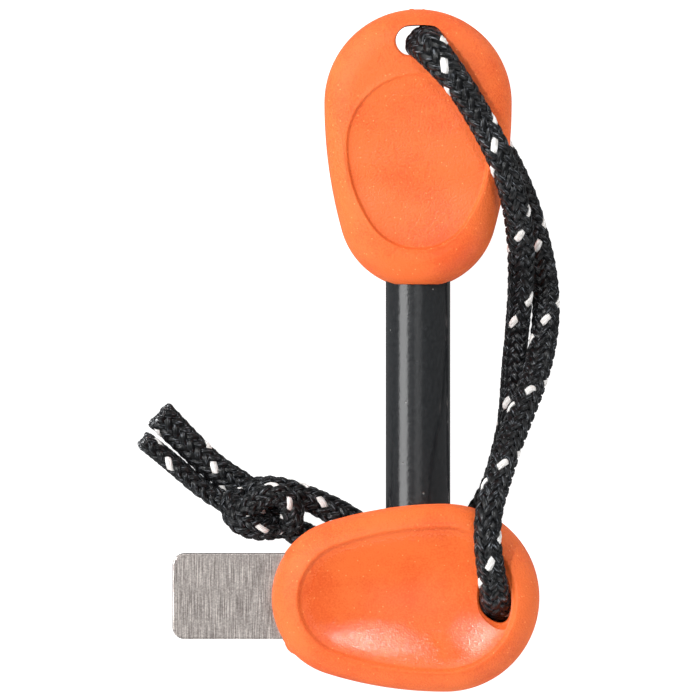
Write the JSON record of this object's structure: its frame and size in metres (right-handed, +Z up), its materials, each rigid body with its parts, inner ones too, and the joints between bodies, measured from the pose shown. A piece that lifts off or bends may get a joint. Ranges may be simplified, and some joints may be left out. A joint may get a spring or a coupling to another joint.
{
  "type": "ferro rod fire starter",
  "caption": "Ferrocerium fire rod with an egg-shaped grip, tied by a braided lanyard to a flat steel striker with a matching grip.",
  "frame": {"origin": "middle of the footprint of the rod, the striker and their handles, on the table that they lie on", "axes": "+Y along the rod towards its handle, +X along the striker towards its eye, away from its blade, +Z up from the table"},
  "size_m": [0.0609, 0.0998, 0.0284],
  "materials": {
    "ferrocerium": "black protective coating, satin",
    "core_plastic": "moulded nylon",
    "grip_elastomer": "moulded elastomer, satin",
    "blade_steel": "brushed across the blade",
    "lanyard_cord": "black braided polyester with one off-white tracer yarn"
  },
  "bodies": {
    "rod_unit": {"ferro_rod": "ferrocerium", "rod_handle_core": "core_plastic", "rod_handle_grip": "grip_elastomer", "lanyard_rod_bight": "lanyard_cord", "lanyard_right_strand": "lanyard_cord", "lanyard_left_strand": "lanyard_cord"},
    "lanyard_end": {"lanyard_striker_bight": "lanyard_cord", "lanyard_left_lead": "lanyard_cord", "lanyard_knot": "lanyard_cord", "lanyard_tail_upper": "lanyard_cord", "lanyard_tail_lower": "lanyard_cord"},
    "striker": {"striker_blade": "blade_steel", "striker_handle_core": "core_plastic", "striker_handle_grip": "grip_elastomer"}
  },
  "joints": [
    {"name": "striker_stroke", "type": "slide", "parent": "rod_unit", "child": "lanyard_end", "axis": [0, 1, 0], "range_m": [0, 0.024], "deforming": ["lanyard_right_strand", "lanyard_left_strand"]},
    {"name": "striker_swivel", "type": "hinge", "parent": "lanyard_end", "child": "striker", "pos_m": [0.02032, -0.0363, 0.0187], "axis": [0, 0, 1], "range_deg": [-15, 90]}
  ]
}
